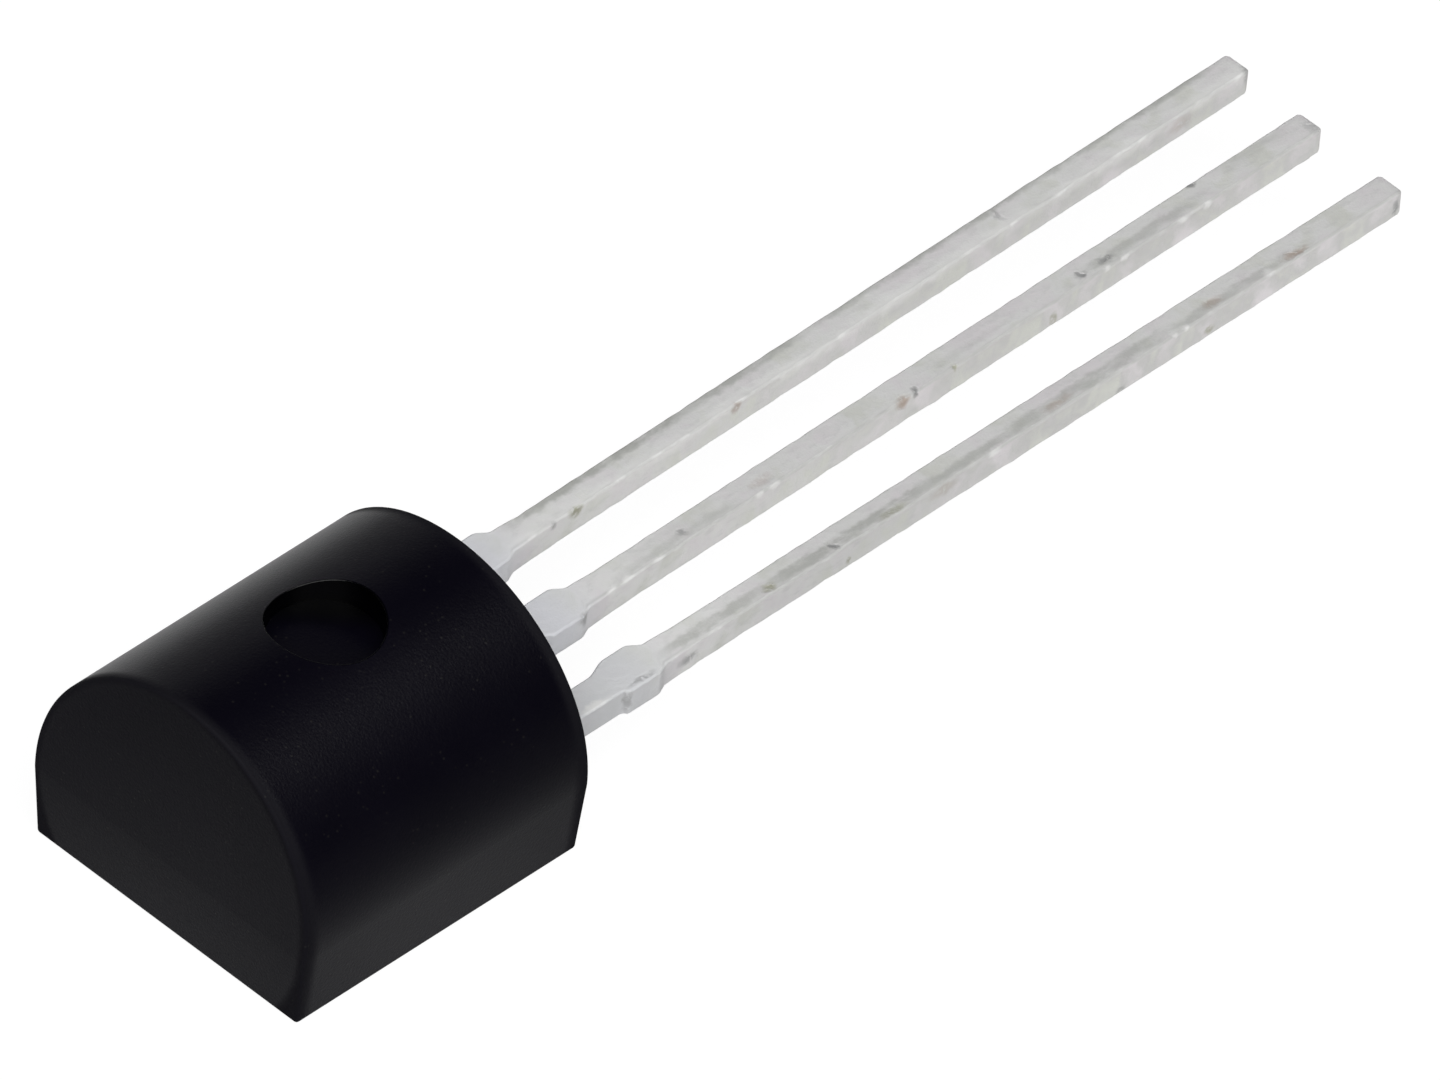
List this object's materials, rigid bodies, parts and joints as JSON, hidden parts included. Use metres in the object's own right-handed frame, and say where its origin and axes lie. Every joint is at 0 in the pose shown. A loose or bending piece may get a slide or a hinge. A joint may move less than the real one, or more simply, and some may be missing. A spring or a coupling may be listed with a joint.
{
  "type": "voltage reference chip",
  "caption": "Through-hole voltage reference: half-round black epoxy body with straight tin-plated leads on a 1.27 mm pitch.",
  "frame": {"origin": "centre of the body's flat face", "axes": "+Y along the leads, from the body towards their tips; +X across the body, along the row of leads; +Z from the flat face to the crown of the curved back"},
  "size_m": [0.0046, 0.0192, 0.0035],
  "materials": {
    "epoxy": "satin moulded epoxy",
    "tinned_copper": "matte tin plate over copper alloy",
    "silver_adhesive": "silver-filled adhesive",
    "silicon": "polished silicon",
    "gold": "drawn gold wire"
  },
  "bodies": {
    "root": {"epoxy_body": "epoxy", "lead_left": "tinned_copper", "lead_centre": "tinned_copper", "lead_right": "tinned_copper", "die_attach": "silver_adhesive", "silicon_die": "silicon", "bond_wire_left": "gold", "bond_wire_right": "gold", "bond_wire_ground": "gold"}
  },
  "joints": []
}
